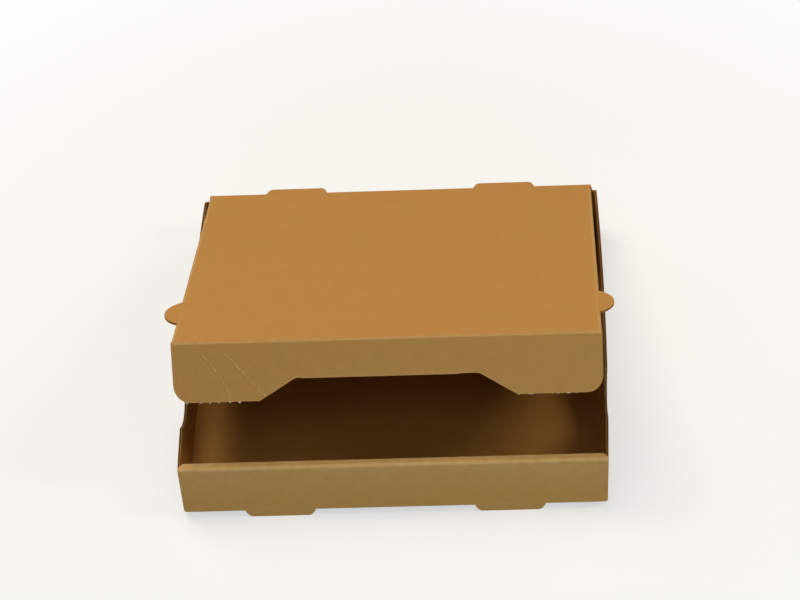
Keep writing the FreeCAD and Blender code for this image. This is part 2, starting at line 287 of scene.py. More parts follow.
square = np.array([[(0, 0, 1), (0, 1, 1)], [(1, 0, 1), (1, 1, 1)]], float)
cube = shell(square, square - (0, 0, 1), np.ones((1, 1), bool))[0]
print("a shell over one cell has", len(cube), "faces")

# %% [markdown]
# ## A patch of board
#
# A patch is three shells: a liner, the fluting, which is a sine wave in U, and the other liner. The waves
# could be drawn with bump, but they show at every edge that is cut across them, so they are real. A patch
# is a grid of U and V, with the cells of a slot or a notch left out. The sheet's own U and V go into a UV
# map, so that the grain runs on across creases, and the walls of the liners get the finish of cut paper.

# %% Three papers
LINER_FINISH, FLUTING_FINISH, CUT_FINISH = range(3)


def patch(grid, rows, place, keep=None, crease=None, step=WAVE_STEP, sheet_at=(0, 0)):
    """The board's three layers over one patch of the sheet.

    grid turns row numbers into arrays U and V, place turns (U, V, W) into points, and keep says for the
    middles of the cells which are board. The liners use rows, and the fluting rows at most step apart.
    """
    layers = []
    span = np.diff(rows)
    fine = np.concatenate([np.linspace(a, b, max(1, math.ceil(d / step)), endpoint=False)
                           for a, b, d in zip(rows, rows[1:], span)] + [rows[-1:]])
    for finish, lines, middle, half in (
            (LINER_FINISH, rows, HALF - LINER / 2, LINER / 2), (FLUTING_FINISH, fine, 0, FLUTING / 2),
            (LINER_FINISH, rows, LINER / 2 - HALF, LINER / 2)):
        u, v = grid(lines)
        w = middle + (WAVE * np.sin(2 * np.pi * u / FLUTE_PITCH) if finish == FLUTING_FINISH else 0 * u)
        centre = [(g[:-1, :-1] + g[1:, 1:] + g[1:, :-1] + g[:-1, 1:]) / 4 for g in (u, v)]
        kept = np.ones(centre[0].shape, bool) if keep is None else keep(*centre)
        upper, lower = place(u, v, w + half), place(u, v, w - half)
        quads, is_wall = shell(upper, lower, kept)
        mark = np.zeros_like(u) if crease is None else crease(u, v)
        sheet = np.stack([u + sheet_at[0], v + sheet_at[1]], -1).reshape(-1, 2) / 1000
        layers.append((np.concatenate([upper.reshape(-1, 3), lower.reshape(-1, 3)]),
                       quads, np.tile(sheet, (2, 1)), np.tile(mark.ravel(), 2),
                       np.where(is_wall & (finish == LINER_FINISH), CUT_FINISH, finish)))
    return layers


print("rows of the fluting are", round(WAVE_STEP, 3), "mm apart")

# %% [markdown]
# ## From patches to a piece
#
# A piece of the scene joins the patches of one panel. Its arrays go into the mesh at once, with the UV
# map, the marks of the creases and a material number for each face. Nothing moves the object: its place
# is in its points.

# %% Laying a piece
CRISP = 40                  # degrees: edges that turn more than this aren't smoothed over


def lay(name, layers, finishes, body=None):
    """One piece of the scene from the layers of its patches: points, quads, UV map, crease marks."""
    shift = np.cumsum([0] + [len(layer[0]) for layer in layers[:-1]])
    quads = np.concatenate([layer[1] + n for layer, n in zip(layers, shift)])
    points, sheet, mark = (np.concatenate([layer[k] for layer in layers]) for k in (0, 2, 3))
    used, quads = np.unique(quads, return_inverse=True)
    quads = quads.reshape(-1, 4)
    mesh = bpy.data.meshes.new(name)
    mesh.vertices.add(len(used))
    mesh.vertices.foreach_set("co", points[used].ravel())
    mesh.loops.add(quads.size)
    mesh.loops.foreach_set("vertex_index", quads.ravel())
    mesh.polygons.add(len(quads))
    mesh.polygons.foreach_set("loop_start", np.arange(0, quads.size, 4))
    mesh.update(calc_edges=True)
    mesh.uv_layers.new(name="sheet").data.foreach_set("uv", sheet[used][quads].ravel())
    mesh.attributes.new("crease", "FLOAT", "POINT").data.foreach_set("value", mark[used])
    for finish in finishes:
        mesh.materials.append(finish)
    mesh.polygons.foreach_set("material_index", np.concatenate([layer[4] for layer in layers]))
    mesh.polygons.foreach_set("use_smooth", np.ones(len(quads), bool))
    mesh.set_sharp_from_angle(angle=math.radians(CRISP))
    piece = bpy.data.objects.new(name, mesh)
    bpy.context.scene.collection.objects.link(piece)
    if body:
        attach(piece, body)
    print(name, 2 * len(quads), "triangles")
    return piece


print("edges over", CRISP, "degrees stay crisp")

# %% [markdown]
# ## Rows and columns
#
# A few helpers say where the lines of a grid go. They are close together where the board bends or where an
# outline turns, and far apart on flat panels, so that no triangle is spent where nothing happens.

# %% Grid helpers
EVEN_HALF = 148.0           # columns of a strip are even up to here, and the last cell follows its edge


def spread(start, end, step, *marks):
    """Numbers from start to end at most step apart, with every mark between them included."""
    stops = [start] + sorted(m for m in marks if start < m < end) + [end]
    parts = [np.linspace(a, b, max(1, math.ceil((b - a) / step)), endpoint=False)
             for a, b in zip(stops, stops[1:])]
    return np.concatenate(parts + [np.array([end])])


def both_sides(*marks):
    """Each mark and its mirror image."""
    return [sign * m for m in marks for sign in (-1, 1)]


def over(rows, v):
    """U and V of a grid: each row's number, repeated over its columns."""
    return np.tile(rows[:, None], (1, v.shape[1])), v


def strip(half, *marks, step=14.0):
    """Grid of a strip across the box: V is the same in every row, apart from the last cell at each
    side, which ends at half(u) from the middle."""
    inside = spread(-EVEN_HALF, EVEN_HALF, step, *marks)

    def grid(rows):
        edge = half(rows)[:, None]
        return over(rows, np.hstack([-edge, np.tile(inside, (len(rows), 1)), edge]))

    return grid


def band(inner, outer, sign, share):
    """Grid between two edges inner(u) and outer(u), on the left or right side as sign says. Its columns
    lie at these shares of the way from the inner edge to the outer one."""
    def grid(rows):
        low, high = inner(rows)[:, None], outer(rows)[:, None]
        v = low + share * (high - low)
        return over(rows, sign * (v if sign > 0 else v[:, ::-1]))

    return grid


def round_corner(distance, radius):
    """What a round corner takes off a side at distance d from its end: r - sqrt(r^2 - (r - d)^2)."""
    d = np.clip(distance, 0, radius)
    return radius - np.sqrt(radius ** 2 - (radius - d) ** 2)


print("0 to 10 in steps of at most 4, through 7:", spread(0, 10, 4.0, 7))

# %% [markdown]
# ## Kraft paper
#
# Kraft liner is unbleached pulp, pressed and left uncoated. It is warm brown and matte, with clouds of
# lighter and darker pulp a few centimetres wide, fibres that lie mostly along the paper machine's
# direction, here U, and a few dark specks of bark. The waves below show through as a washboard too faint
# to see head on. Where the sheet is scuffed the fibres are stretched and look paler. It is also drawn
# paler at its creases, and a painted highlight makes the rolled strip of the front wall paler.
# Colours are written as they would be picked on a screen, and one function turns them to linear.

# %% Colours
KRAFT = "#bb8643"
KRAFT_WARM = "#be8443"
KRAFT_OLIVE = "#b88740"
KRAFT_PALE = "#dcb980"
SPECK = "#5f3d18"
RIM_PALE = "#d6a86f"
FLUTING_BROWN = "#94683a"
CUT_PALE = "#c59d6a"
TORN_FIBRE = "#f2e0c0"


def linear(code):
    """Linear RGBA of an sRGB hex colour."""
    part = np.array([int(code[i:i + 2], 16) for i in (1, 3, 5)]) / 255
    low = part / 12.92
    high = ((part + 0.055) / 1.055) ** 2.4
    return (*np.where(part <= 0.04045, low, high).tolist(), 1.0)


print("kraft, linear:", np.round(linear(KRAFT)[:3], 3))

# %% [markdown]
# ## Nodes
#
# A material is a tree of nodes. One small function adds any of them: it sets the node, fills its sockets
# and hands back one output, so that a pattern reads like a sum. Sockets go by number where their names
# repeat. A Map Range takes 0 the value, 1 and 2 the range it comes from, and 3 and 4 the one it goes to,
# each 0 to 1 unless given. A Math node takes its terms from 0 on. A colour Mix takes 0 the share and 6
# and 7 the two colours, and its colour comes out as number 2.


# %% Node helpers
def fill(tree, node, inputs):
    """Gives each of these sockets of a node its value, or a link where the value is an output."""
    for key, value in dict(inputs).items():
        if isinstance(value, bpy.types.NodeSocket):
            tree.links.new(value, node.inputs[key])
        else:
            node.inputs[key].default_value = value


def add(tree, kind, inputs=(), out=0, **settings):
    """Adds a node of a kind with its settings and inputs. It returns the output named or numbered out,
    or all of them where out is None."""
    made = tree.nodes.new("ShaderNode" + kind)
    for key, value in settings.items():
        setattr(made, key, value)
    fill(tree, made, inputs)
    return made.outputs if out is None else made.outputs[out]


def finish_named(name):
    """A new material: (material, tree, its Principled shader)."""
    material = bpy.data.materials.new(name)
    material.use_nodes = True
    return material, material.node_tree, material.node_tree.nodes["Principled BSDF"]


PAPER_IOR = 1.47            # cellulose
print("paper bends light by", PAPER_IOR)

# %% [markdown]
# ## Pulp
#
# The clouds, the mottle and the fibres are noise on the sheet's own coordinates, each at its real size.
# A picture of paper would show its repeats on a panel this large, and noise has none. The fibres are
# noise on stretched coordinates, ten times as long as wide. They are drawn about ten times as wide as
# real ones, because finer ones wouldn't show.

# %% Clouds, mottle and fibres
CLOUD = 0.045               # metres, as all sizes of patterns are
MOTTLE = 0.009
FIBRE_LONG, FIBRE_WIDE = 0.0045, 0.00045
STREAK = 0.05               # share that the fibres make the paper lighter or darker
PATCHY = 0.035              # the same for the mottle


def pulp(tree, sheet, painted_shade):
    """Colour of the bare paper, and the mottle and the fibres in it.

    Clouds mix an olive and a warm tone, and the mottle mixes in the plain one. Fibres times mottle make
    the result a little lighter or darker, around the level given last, which below 1 is painted shade.
    """
    clouds = add(tree, "TexNoise", {"Vector": sheet, "Scale": 1 / CLOUD, "Detail": 3.0, "Roughness": 0.55})
    mottle = add(tree, "TexNoise", {"Vector": sheet, "Scale": 1 / MOTTLE, "Detail": 4.0, "Roughness": 0.6})
    stretched = add(tree, "Mapping", {"Vector": sheet, "Scale": (1 / FIBRE_LONG, 1 / FIBRE_WIDE, 1)})
    fibres = add(tree, "TexNoise", {"Vector": stretched, "Scale": 1.0, "Detail": 3.0, "Roughness": 0.65})
    cloudy = add(tree, "MapRange", {0: clouds, 1: 0.35, 2: 0.65})
    tone = add(tree, "Mix", {0: cloudy, 6: linear(KRAFT_OLIVE), 7: linear(KRAFT_WARM)}, 2, data_type="RGBA")
    mottled = add(tree, "MapRange", {0: mottle, 1: 0.3, 2: 0.7, 3: 0.1, 4: 0.8})
    body = add(tree, "Mix", {0: mottled, 6: tone, 7: linear(KRAFT)}, 2, data_type="RGBA")
    streak = add(tree, "MapRange", {0: fibres, 1: 0.3, 2: 0.72, 3: (1 - STREAK) * painted_shade,
                                    4: (1 + STREAK) * painted_shade})
    patchy = add(tree, "MapRange", {0: mottle, 1: 0.3, 2: 0.7, 3: 1 - PATCHY, 4: 1 + PATCHY})
    level = add(tree, "Math", {0: streak, 1: patchy}, operation="MULTIPLY")
    return add(tree, "VectorMath", {0: body, "Scale": level}, operation="SCALE"), mottle, fibres


print("clouds", CLOUD * 1000, "mm, mottle", MOTTLE * 1000, "mm, fibres", FIBRE_LONG * 1000, "mm long")

# %% [markdown]
# ## Specks of bark
#
# Unbleached pulp keeps a few dark bits of bark. A Voronoi pattern divides the sheet into cells, and each
# cell has a random colour. One of its channels decides whether the cell gets a speck and how dark it is,
# and another how large it is.

# %% Specks
SPECK_SPACING = 0.010
SPECK_RADIUS = 0.00075


def bark_specks(tree, sheet):
    """Mask of the specks: a dot round the middle of about every second cell."""
    cells = add(tree, "TexVoronoi", {"Vector": sheet, "Scale": 1 / SPECK_SPACING}, None,
                voronoi_dimensions="2D")
    chance, size, _ = add(tree, "SeparateColor", {0: cells["Color"]}, None)
    share = add(tree, "MapRange", {0: size, 3: 0.35})
    radius = add(tree, "Math", {0: share, 1: SPECK_RADIUS / SPECK_SPACING}, operation="MULTIPLY")
    reach = add(tree, "Math", {0: cells["Distance"], 1: radius}, operation="DIVIDE")
    dot = add(tree, "MapRange", {0: reach, 1: 0.4, 3: 1.0, 4: 0.0})
    strength = add(tree, "MapRange", {0: chance, 1: 0.5, 2: 0.9, 4: 0.5})
    return add(tree, "Math", {0: dot, 1: strength}, operation="MULTIPLY")


print("specks up to", SPECK_RADIUS * 2000, "mm wide, in cells of", SPECK_SPACING * 1000, "mm")

# %% [markdown]
# ## Scuffs
#
# Something sharp was dragged over the flap and left two pale lines, and beside each a dark line of painted
# shade. A scuff is a chain of straight lines on the sheet. A Mapping node turns the pattern so that one
# axis runs along a line, and the distance from that axis gives the pale line and the painted shade beside
# it. Noise makes the line waver and breaks it into dashes, because a point skips over the board and
# catches on its small waves.

# %% Scuff lines
WAVER, WAVER_LENGTH = 0.0016, 0.004
SCUFF_FADE = 0.0008         # a line fades out over this much before and after its end
BESIDE = 1.2                # the painted shade is this many widths beside the pale line
SCUFF_PAINTED_SHADE = 0.35           # and this share as strong
DASH = 0.0032


def scuff_line(tree, sheet, ends, width):
    """Pale and painted-shade masks of one straight line between two points of the sheet, in metres."""
    (x0, y0), (x1, y1) = ends
    length = math.hypot(x1 - x0, y1 - y0)
    turned = add(tree, "Mapping", {"Vector": sheet, "Location": (x0, y0, 0),
                                   "Rotation": (0, 0, math.atan2(y1 - y0, x1 - x0))}, vector_type="TEXTURE")
    along, across, _ = add(tree, "SeparateXYZ", {"Vector": turned}, None)
    waver = add(tree, "TexNoise", {"Vector": sheet, "Scale": 1 / WAVER_LENGTH, "Detail": 1.0})
    swayed = add(tree, "Math", {0: waver, 1: WAVER, 2: across}, operation="MULTIPLY_ADD")
    aside = add(tree, "Math", {0: swayed, 1: WAVER / 2}, operation="SUBTRACT")
    begun = add(tree, "MapRange", {0: along, 1: -SCUFF_FADE, 2: SCUFF_FADE})
    going = add(tree, "MapRange", {0: along, 1: length - SCUFF_FADE, 2: length + SCUFF_FADE, 3: 1.0, 4: 0.0})
    within = add(tree, "Math", {0: begun, 1: going}, operation="MULTIPLY")
    masks = []
    for shift in (0.0, BESIDE * width):
        moved = add(tree, "Math", {0: aside, 1: shift}, operation="ADD")
        gap = add(tree, "Math", {0: moved}, operation="ABSOLUTE")
        line = add(tree, "MapRange", {0: gap, 2: width, 3: 1.0, 4: 0.0})
        masks.append(add(tree, "Math", {0: line, 1: within}, operation="MULTIPLY"))
    return masks


def scuff(tree, sheet, scuffs, pale, dark, height):
    """Adds the scuffs' pale lines to the pale mask and their painted shade to the dark one, and presses the
    pale lines into the height.
    """
    broken = add(tree, "TexNoise", {"Vector": sheet, "Scale": 1 / DASH, "Detail": 2.0})
    dashes = add(tree, "MapRange", {0: broken, 1: 0.4, 2: 0.58, 3: 0.05})
    for points, width, strength in scuffs:
        for ends in zip(points, points[1:]):
            light, shadow = scuff_line(tree, sheet, ends, width)
            dashed = add(tree, "Math", {0: light, 1: dashes}, operation="MULTIPLY")
            light = add(tree, "Math", {0: dashed, 1: strength}, operation="MULTIPLY")
            # the dark line beside the pale one is painted shade
            shadow = add(tree, "Math", {0: shadow, 1: SCUFF_PAINTED_SHADE * strength}, operation="MULTIPLY")
            pale = add(tree, "Math", {0: pale, 1: light}, operation="MAXIMUM")
            dark = add(tree, "Math", {0: dark, 1: shadow}, operation="MAXIMUM")
            height = add(tree, "Math", {0: light, 1: -1.0, 2: height}, operation="MULTIPLY_ADD")
    return pale, dark, height


print("a scuff wavers by", WAVER * 1000, "mm and breaks into dashes of", DASH * 1000, "mm")

# %% [markdown]
# ## The liner's finish
#
# Here the pulp, the specks and the scuffs come together. The crease mark on the mesh turns the colour
# paler there, more in some spots than in others; on the front wall the same mark also carries the painted
# highlight of the rolled strip. Kraft paper is nearly without gloss:
# rough, with a weak reflection that the fibres and the faint washboard break up.

# %% Kraft liner
CREASE_PALE = (0.2, 0.38)   # share of the pale colour in a crease, from the dark mottle to the light
WASHBOARD = 0.08            # height of the waves that show through, as a share of the fibres'
RELIEF = 0.00006


def kraft_liner(name, marked=KRAFT_PALE, scuffs=(), painted_shade=1.0):
    """Uncoated unbleached kraft paper, machine made: matte, cloudy and fibrous.

    marked is its colour at a crease, the rolled strip's painted highlight or a rim, scuffs are (points,
    width, strength) in metres of the sheet, and the last argument, below 1, paints shade over the whole
    paper.
    """
    material, tree, shader = finish_named(name)
    sheet = add(tree, "UVMap", uv_map="sheet")
    colour, mottle, fibres = pulp(tree, sheet, painted_shade)
    dark = bark_specks(tree, sheet)
    crease = add(tree, "Attribute", out="Fac", attribute_name="crease")
    uneven = add(tree, "MapRange", {0: mottle, 1: 0.3, 2: 0.7, 3: CREASE_PALE[0], 4: CREASE_PALE[1]})
    pale = add(tree, "Math", {0: crease, 1: uneven}, operation="MULTIPLY")
    walked = add(tree, "SeparateXYZ", {"Vector": sheet}, "X")
    phase = add(tree, "Math", {0: walked, 1: 2000 * math.pi / FLUTE_PITCH}, operation="MULTIPLY")
    wave = add(tree, "Math", {0: phase}, operation="SINE")
    height = add(tree, "Math", {0: wave, 1: WASHBOARD, 2: fibres}, operation="MULTIPLY_ADD")
    if scuffs:
        pale, dark, height = scuff(tree, sheet, scuffs, pale, dark, height)
    specked = add(tree, "Mix", {0: dark, 6: colour, 7: linear(SPECK)}, 2, data_type="RGBA")
    final = add(tree, "Mix", {0: pale, 6: specked, 7: linear(marked)}, 2, data_type="RGBA")
    rough = add(tree, "MapRange", {0: mottle, 1: 0.3, 2: 0.7, 3: 0.78, 4: 0.9})
    bump = add(tree, "Bump", {"Strength": 1.0, "Distance": RELIEF, "Height": height})
    fill(tree, shader, {"Base Color": final, "Roughness": rough, "Normal": bump, "IOR": PAPER_IOR,
                        "Specular IOR Level": 0.35})
    return material


liner = kraft_liner("kraft_liner")
print("liner nodes", len(liner.node_tree.nodes))

# %% [markdown]
# ## Fluting, cut edges and torn fibre
#
# The fluting is recycled paper, darker and rougher than the liners. A die cuts through both and leaves
# a paler, slightly fuzzy edge. Where the flap was held in the sheet by small uncut nicks, tearing them
# left tufts of long fibres, the palest thing on the box. All three are seen only in narrow edges, so one
# function with two tones and one grain size is enough for them.


# %% The three rougher papers
def rough_paper(name, colour, other, size, roughness):
    """Uncoated paper seen at a cut or a tear: two tones mixed by noise of one size in metres."""
    material, tree, shader = finish_named(name)
    place = add(tree, "TexCoord", out="Object")
    grain = add(tree, "TexNoise", {"Vector": place, "Scale": 1 / size, "Detail": 3.0, "Roughness": 0.7})
    share = add(tree, "MapRange", {0: grain, 1: 0.35, 2: 0.65})
    tone = add(tree, "Mix", {0: share, 6: linear(colour), 7: linear(other)}, 2, data_type="RGBA")
    bump = add(tree, "Bump", {"Strength": 1.0, "Distance": size / 8, "Height": grain})
    fill(tree, shader, {"Base Color": tone, "Normal": bump, "Roughness": roughness, "IOR": PAPER_IOR,
                        "Specular IOR Level": 0.25})
    return material


fluting = rough_paper("recycled_fluting", FLUTING_BROWN, KRAFT, 0.0009, 0.92)
cut_edge = rough_paper("die_cut_edge", CUT_PALE, KRAFT, 0.0011, 0.95)
torn = rough_paper("torn_fibre", TORN_FIBRE, CUT_PALE, 0.0006, 1.0)
papers = [liner, fluting, cut_edge]
print("papers", [m.name for m in papers + [torn]])

# %% [markdown]
# ## How the side walls stand
#
# The side walls are held only at their ends, so they bow outwards in the middle: a parabola through the
# three widths. Each has a shallow arc cut out of its top edge, where the closed lid's ear lies. Both go
# into two functions of U, the angle of the crease below the wall and the place of its top edge.

# %% Side wall heights and leans
FLOOR_HALF = FLOOR_WIDTH / 2 - BEND - HALF
EAR_ALONG = 237.5           # middle of the ear from the lid's hinge
EAR_Y = HINGE_Y - EAR_ALONG
RECESS_HALF, RECESS_DEPTH = 26.1, 10.0      # of the arc that the ear lies in
bow = np.polyfit([SIDE_START, (SIDE_START + SIDE_END) / 2, SIDE_END - BEND - HALF],
                 [FRONT_HALF, MIDDLE_HALF, REAR_HALF], 2)
floor_at_front = spine.ends[front_foot]
floor_at_back = spine.starts[back_foot]


def wall_turn(u):
    """Angle of the crease between floor and side wall: 90 degrees less the wall's lean."""
    y = spine(u)[0]
    return np.pi / 2 - np.arctan2(np.polyval(bow, y) - FLOOR_WIDTH / 2, WALL - HALF)


def wall_edge(u):
    """Distance from the middle of the sheet to the side wall's top edge, recess included."""
    y = spine(u)[0]
    radius = (RECESS_HALF ** 2 + RECESS_DEPTH ** 2) / (2 * RECESS_DEPTH)
    inside = np.clip(radius ** 2 - (y - EAR_Y) ** 2, 0, None)
    top = np.minimum(WALL, WALL - RECESS_DEPTH + radius - np.sqrt(inside))
    turn = wall_turn(u)
    rest = (top - HALF - BEND * (1 - np.cos(turn))) / np.sin(turn)
    return FLOOR_HALF + BEND * turn + rest


print("tray widths at the top", np.round(2 * np.polyval(bow, [SIDE_START, EAR_Y, SIDE_END]), 1), "mm")

# %% [markdown]
# ## Floor and side walls
#
# The floor and the two side walls are one patch with a crease at each side, as they are one stretch of
# the real sheet. The patch is a grid as wide as the unfolded walls, and the folding turns its sides up.
# Two slots in the floor behind the front wall take the locking tabs.

# %% Floor and side walls
SLOT_INNER, SLOT_OUTER, SLOT_DEPTH = 58.6, 109.6, 7.0


def crease_marks(flat_half=UNCREASED):
    """Marks for the creases across the sheet and for the one beyond flat_half."""
    def mark(u, v):
        gap = np.maximum(flat_half - np.abs(v), np.abs(v) - flat_half - QUARTER)
        return np.maximum(spine.nearness(u), np.clip(1 - gap / MARK, 0, 1))

    return mark


def trough_grid(flat_half, edge, marks=(), step=16.0, rise=6):
    """Grid for a panel with a crease and a wall at each side: fixed V on the panel and round the
    crease, then V in equal parts up to edge(u)."""
    bend = np.append(np.linspace(0, QUARTER, 6)[1:], QUARTER + MARK)
    right = flat_half + bend
    panel = spread(-flat_half, flat_half, step, *both_sides(flat_half - MARK), *marks)

    def grid(rows):
        top = edge(rows)[:, None]
        share = np.linspace(0, 1, rise + 1)[1:]
        wall = right[-1] + share * (top - right[-1])
        flat = np.tile(np.concatenate([-right[::-1], panel, right]), (len(rows), 1))
        return over(rows, np.hstack([-wall[:, ::-1], flat, wall]))

    return grid


def place_trough(u, v, w):
    return folded(u, v, w, flat_half=FLOOR_HALF, turn=wall_turn(u))


def trough_keep(u, v):
    """All of the floor apart from the slots, and the walls between their two ends."""
    y = spine(u)[0]
    on_floor = np.abs(v) < FLOOR_HALF
    slot = (y < SLOT_DEPTH) & (np.abs(v) > SLOT_INNER) & (np.abs(v) < SLOT_OUTER)
    return np.where(on_floor, ~slot, y < SIDE_END - BEND - HALF)


u_floor = floor_at_front + SIDE_START - BEND - HALF
u_slot = u_floor + SLOT_DEPTH - SIDE_START
u_wall_end = u_floor + SIDE_END - BEND - HALF - SIDE_START
trough_rows = spread(u_floor, floor_at_back, 3.0, u_floor + MARK, u_slot, u_wall_end, floor_at_back - MARK)
trough = patch(trough_grid(FLOOR_HALF, wall_edge, both_sides(SLOT_INNER, SLOT_OUTER), step=60.0, rise=4),
               trough_rows, place_trough, trough_keep, crease_marks(FLOOR_HALF), step=LONG_WAVE_STEP)
tray_floor = lay("tray_floor_and_sides", trough, papers, "tray")

# %% [markdown]
# ## Front wall and rolled strip
#
# The front wall comes up from the floor, rolls over a strip 7.4 mm wide and goes down again inside. The
# crease at its foot is interrupted at the two tongues that were cut out of the floor. The rolled strip faces
# up and takes more light than the wall, and a painted highlight makes it pale. That painted highlight is one
# more mark on the mesh, strong at the strip's rear edge, and it runs out down the wall.

# %% Outline and painted highlight of the front wall
TONGUE_INNER, TONGUE_LENGTH = 57.2, 49.8
FOOT_ROUND = 1.2            # how much the bottom corners of the front wall pull in
REAR_WEAR, FRONT_WEAR, WALL_HIGHLIGHT = 2.4, 0.9, 0.4
HIGHLIGHT_DROP, HIGHLIGHT_RUN = 2.0, 32.0     # from the strip down to WALL_HIGHLIGHT, and to none


def front_half(u):
    """Half the width of the strip, from the locked panel over the roll to the foot of the wall, where
    it draws in by a parabola."""
    half = np.interp(u, [spine.ends[roll_rear], spine.starts[roll_front], spine.starts[front_foot]],
                     [INNER_HALF, FRONT_HALF, FLOOR_WIDTH / 2])
    return half - FOOT_ROUND * np.clip((u - spine.starts[front_foot] + FOOT_ROUND) / FOOT_ROUND, 0, 1) ** 2


def front_keep(u, v):
    """Everything apart from the foot's own length of the bottom crease."""
    foot = (np.abs(v) > TONGUE_INNER) & (np.abs(v) < TONGUE_INNER + TONGUE_LENGTH)
    return ~(foot & (u > spine.starts[front_foot]))


def roll_painted_highlight(u, v):
    """Painted highlight, as a broken line over U: from REAR_WEAR at the strip's rear edge to
    FRONT_WEAR at its front one, WALL_HIGHLIGHT at HIGHLIGHT_DROP below it, and none at HIGHLIGHT_RUN."""
    rear, front = spine.starts[roll_rear], spine.ends[roll_front]
    return np.interp(u, [rear - MARK, rear, front, front + HIGHLIGHT_DROP, front + HIGHLIGHT_RUN],
                     [0, REAR_WEAR, FRONT_WEAR, WALL_HIGHLIGHT, 0])


bends = [spine.rows_of(k) for k in (roll_rear, roll_front, front_foot)]
front_rows = np.concatenate([spread(0, u_floor, 2.0, *spine.starts[:3], *spine.ends[:3])] + bends)
front_rows = np.unique(np.round(np.clip(front_rows, 0, u_floor), 6))
# The front wall's mark is its creases and the painted highlight of the rolled strip.
front = patch(strip(front_half, *both_sides(TONGUE_INNER, TONGUE_INNER + TONGUE_LENGTH), step=20.0),
              front_rows, folded, front_keep,
              lambda u, v: np.maximum(roll_painted_highlight(u, v), spine.nearness(u)))
print("front wall: rows", len(front_rows))

# %% [markdown]
# ## Feet and locking tabs
#
# Where the crease is interrupted the sheet goes straight on: the tongues of the front wall reach down
# past the floor, and the box stands on them. Two like tongues at the end of the rolled panel go through
# the slots and lock it. Four of a kind are one function, a line that leaves the folded line and bends no
# more.

# %% Feet and locking tabs
TONGUE_SLOPE = 3.2
FOOT_CORNER, LOCK_CORNER = 1.6, 0.8
LOCK_SHIFT = 2.0
LOCK_DROP = 2.4


def tongue(root, base, tip, line, inner, length, slope, corner, sign):
    """Tongue of board on a line that goes straight on, from its root to its tip.

    Each side runs in evenly by slope from base to tip, and more at the tip's round corner.
    """
    def inset(rows):
        return slope * np.clip((rows - base) / (tip - base), 0, 1) + round_corner(np.abs(tip - rows), corner)

    grid = band(lambda rows: inner + inset(rows), lambda rows: inner + length - inset(rows), sign,
                np.linspace(0, 1, 9))
    return patch(grid, spread(min(root, tip), max(root, tip), 0.5, base),
                 lambda u, v, w: folded(u, v, w, line=line))


u_foot = spine.starts[front_foot]
foot_tip = u_foot + BEND + HALF + FOOT
lock_tip = -SIDE_START - LOCK_DROP
for sign in (-1, 1):
    front += tongue(u_foot, u_foot + BEND + HALF, foot_tip, spine.straight_from(u_foot),
                    TONGUE_INNER, TONGUE_LENGTH, TONGUE_SLOPE, FOOT_CORNER, sign)
    front += tongue(0, -SIDE_START, lock_tip, spine.straight_from(0),
                    TONGUE_INNER + LOCK_SHIFT, TONGUE_LENGTH, TONGUE_SLOPE, LOCK_CORNER, sign)
tray_front = lay("tray_front_wall", front, papers, "tray")

# %% [markdown]
# ## Back wall
#
# The back wall is a plain strip from the floor's rear crease up to the lid's. It has a notch below each
# rear tab of the lid, because the tab was cut out of it. The strip ends a little below the hinge, where
# the piece that bends begins.

# %% Back wall
TAB_INNER, TAB_LENGTH, TAB_REACH = 57.3, 48.0, 9.8
TAB_CLEARANCE = 0.5
NOTCH = 11.1                # from the lid's hinge down
STRIP_BELOW = 4.0           # the crease strip starts this far below the lid's hinge
hinge_at = (spine.starts[lid_crease] + spine.ends[lid_crease]) / 2
notch_inner, notch_outer = TAB_INNER - TAB_CLEARANCE, TAB_INNER + TAB_LENGTH + TAB_CLEARANCE


def outside_notch(v):
    return (np.abs(v) < notch_inner) | (np.abs(v) > notch_outer)


back_top = hinge_at - STRIP_BELOW
back_rows = np.unique(np.round(np.concatenate([
    spread(floor_at_back, back_top, 3.0, hinge_at - NOTCH), spine.rows_of(back_foot)[1:]]), 6))
back = patch(strip(lambda u: np.full_like(u, BACK_HALF), *both_sides(notch_inner, notch_outer), step=20.0),
             back_rows, folded, lambda u, v: (u < hinge_at - NOTCH) | outside_notch(v), crease_marks())
tray_back = lay("tray_back_wall", back, papers, "tray")

# %% [markdown]
# ## Corner flaps
#
# The side walls' ends carry corner flaps that fold inwards, two behind the front wall and two before the
# back wall. Their creases stand upright, so they have a folding of their own: a strip along U, with V as
# its height. All four are one function, because only their ends of the box and their sides differ.

# %% Corner flaps
APART = (900, 600)          # millimetres on the sheet, so that no two flaps have the same clouds


def corner_flap(y_outer, half, towards, sign):
    """Flap at the end of a side wall: a quarter turn round an upright crease, then straight inwards.

    U is the distance from the side wall, V the height. towards is 1 where the wall lies behind it.
    """
    def place(u, v, w):
        p = np.clip(u / BEND, 0, np.pi / 2)
        rest = np.maximum(u - QUARTER, 0)
        wall_x = FLOOR_WIDTH / 2 + (half - FLOOR_WIDTH / 2) * v / WALL - HALF
        x = wall_x - BEND * (1 - np.cos(p)) - rest + w * np.cos(p)
        y = y_outer + towards * (HALF + BEND) - towards * np.sin(p) * (BEND + w)
        return stand(sign * x, y, v)

    def grid(rows):
        heights = np.linspace(SIDE_START, WALL - CORNER_DROP, 5)
        return over(rows, np.tile(heights, (len(rows), 1)))

    def mark(u, v):
        return np.clip(1 - (u - QUARTER) / MARK, 0, 1)

    rows = np.unique(np.concatenate([np.linspace(0, QUARTER, 7), spread(QUARTER + MARK, CORNER_LENGTH, 4.0)]))
    return patch(grid, rows, place, crease=mark, sheet_at=(APART[0] * towards, APART[1] * sign))


corners = [layer for sign in (-1, 1) for y_outer, half, towards in
           ((SIDE_START, FRONT_HALF, 1), (SIDE_END, REAR_HALF, -1))
           for layer in corner_flap(y_outer, half, towards, sign)]
tray_corners = lay("tray_corner_flaps", corners, papers, "tray")
for piece in (tray_floor, tray_front, tray_back, tray_corners):
    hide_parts("tray")

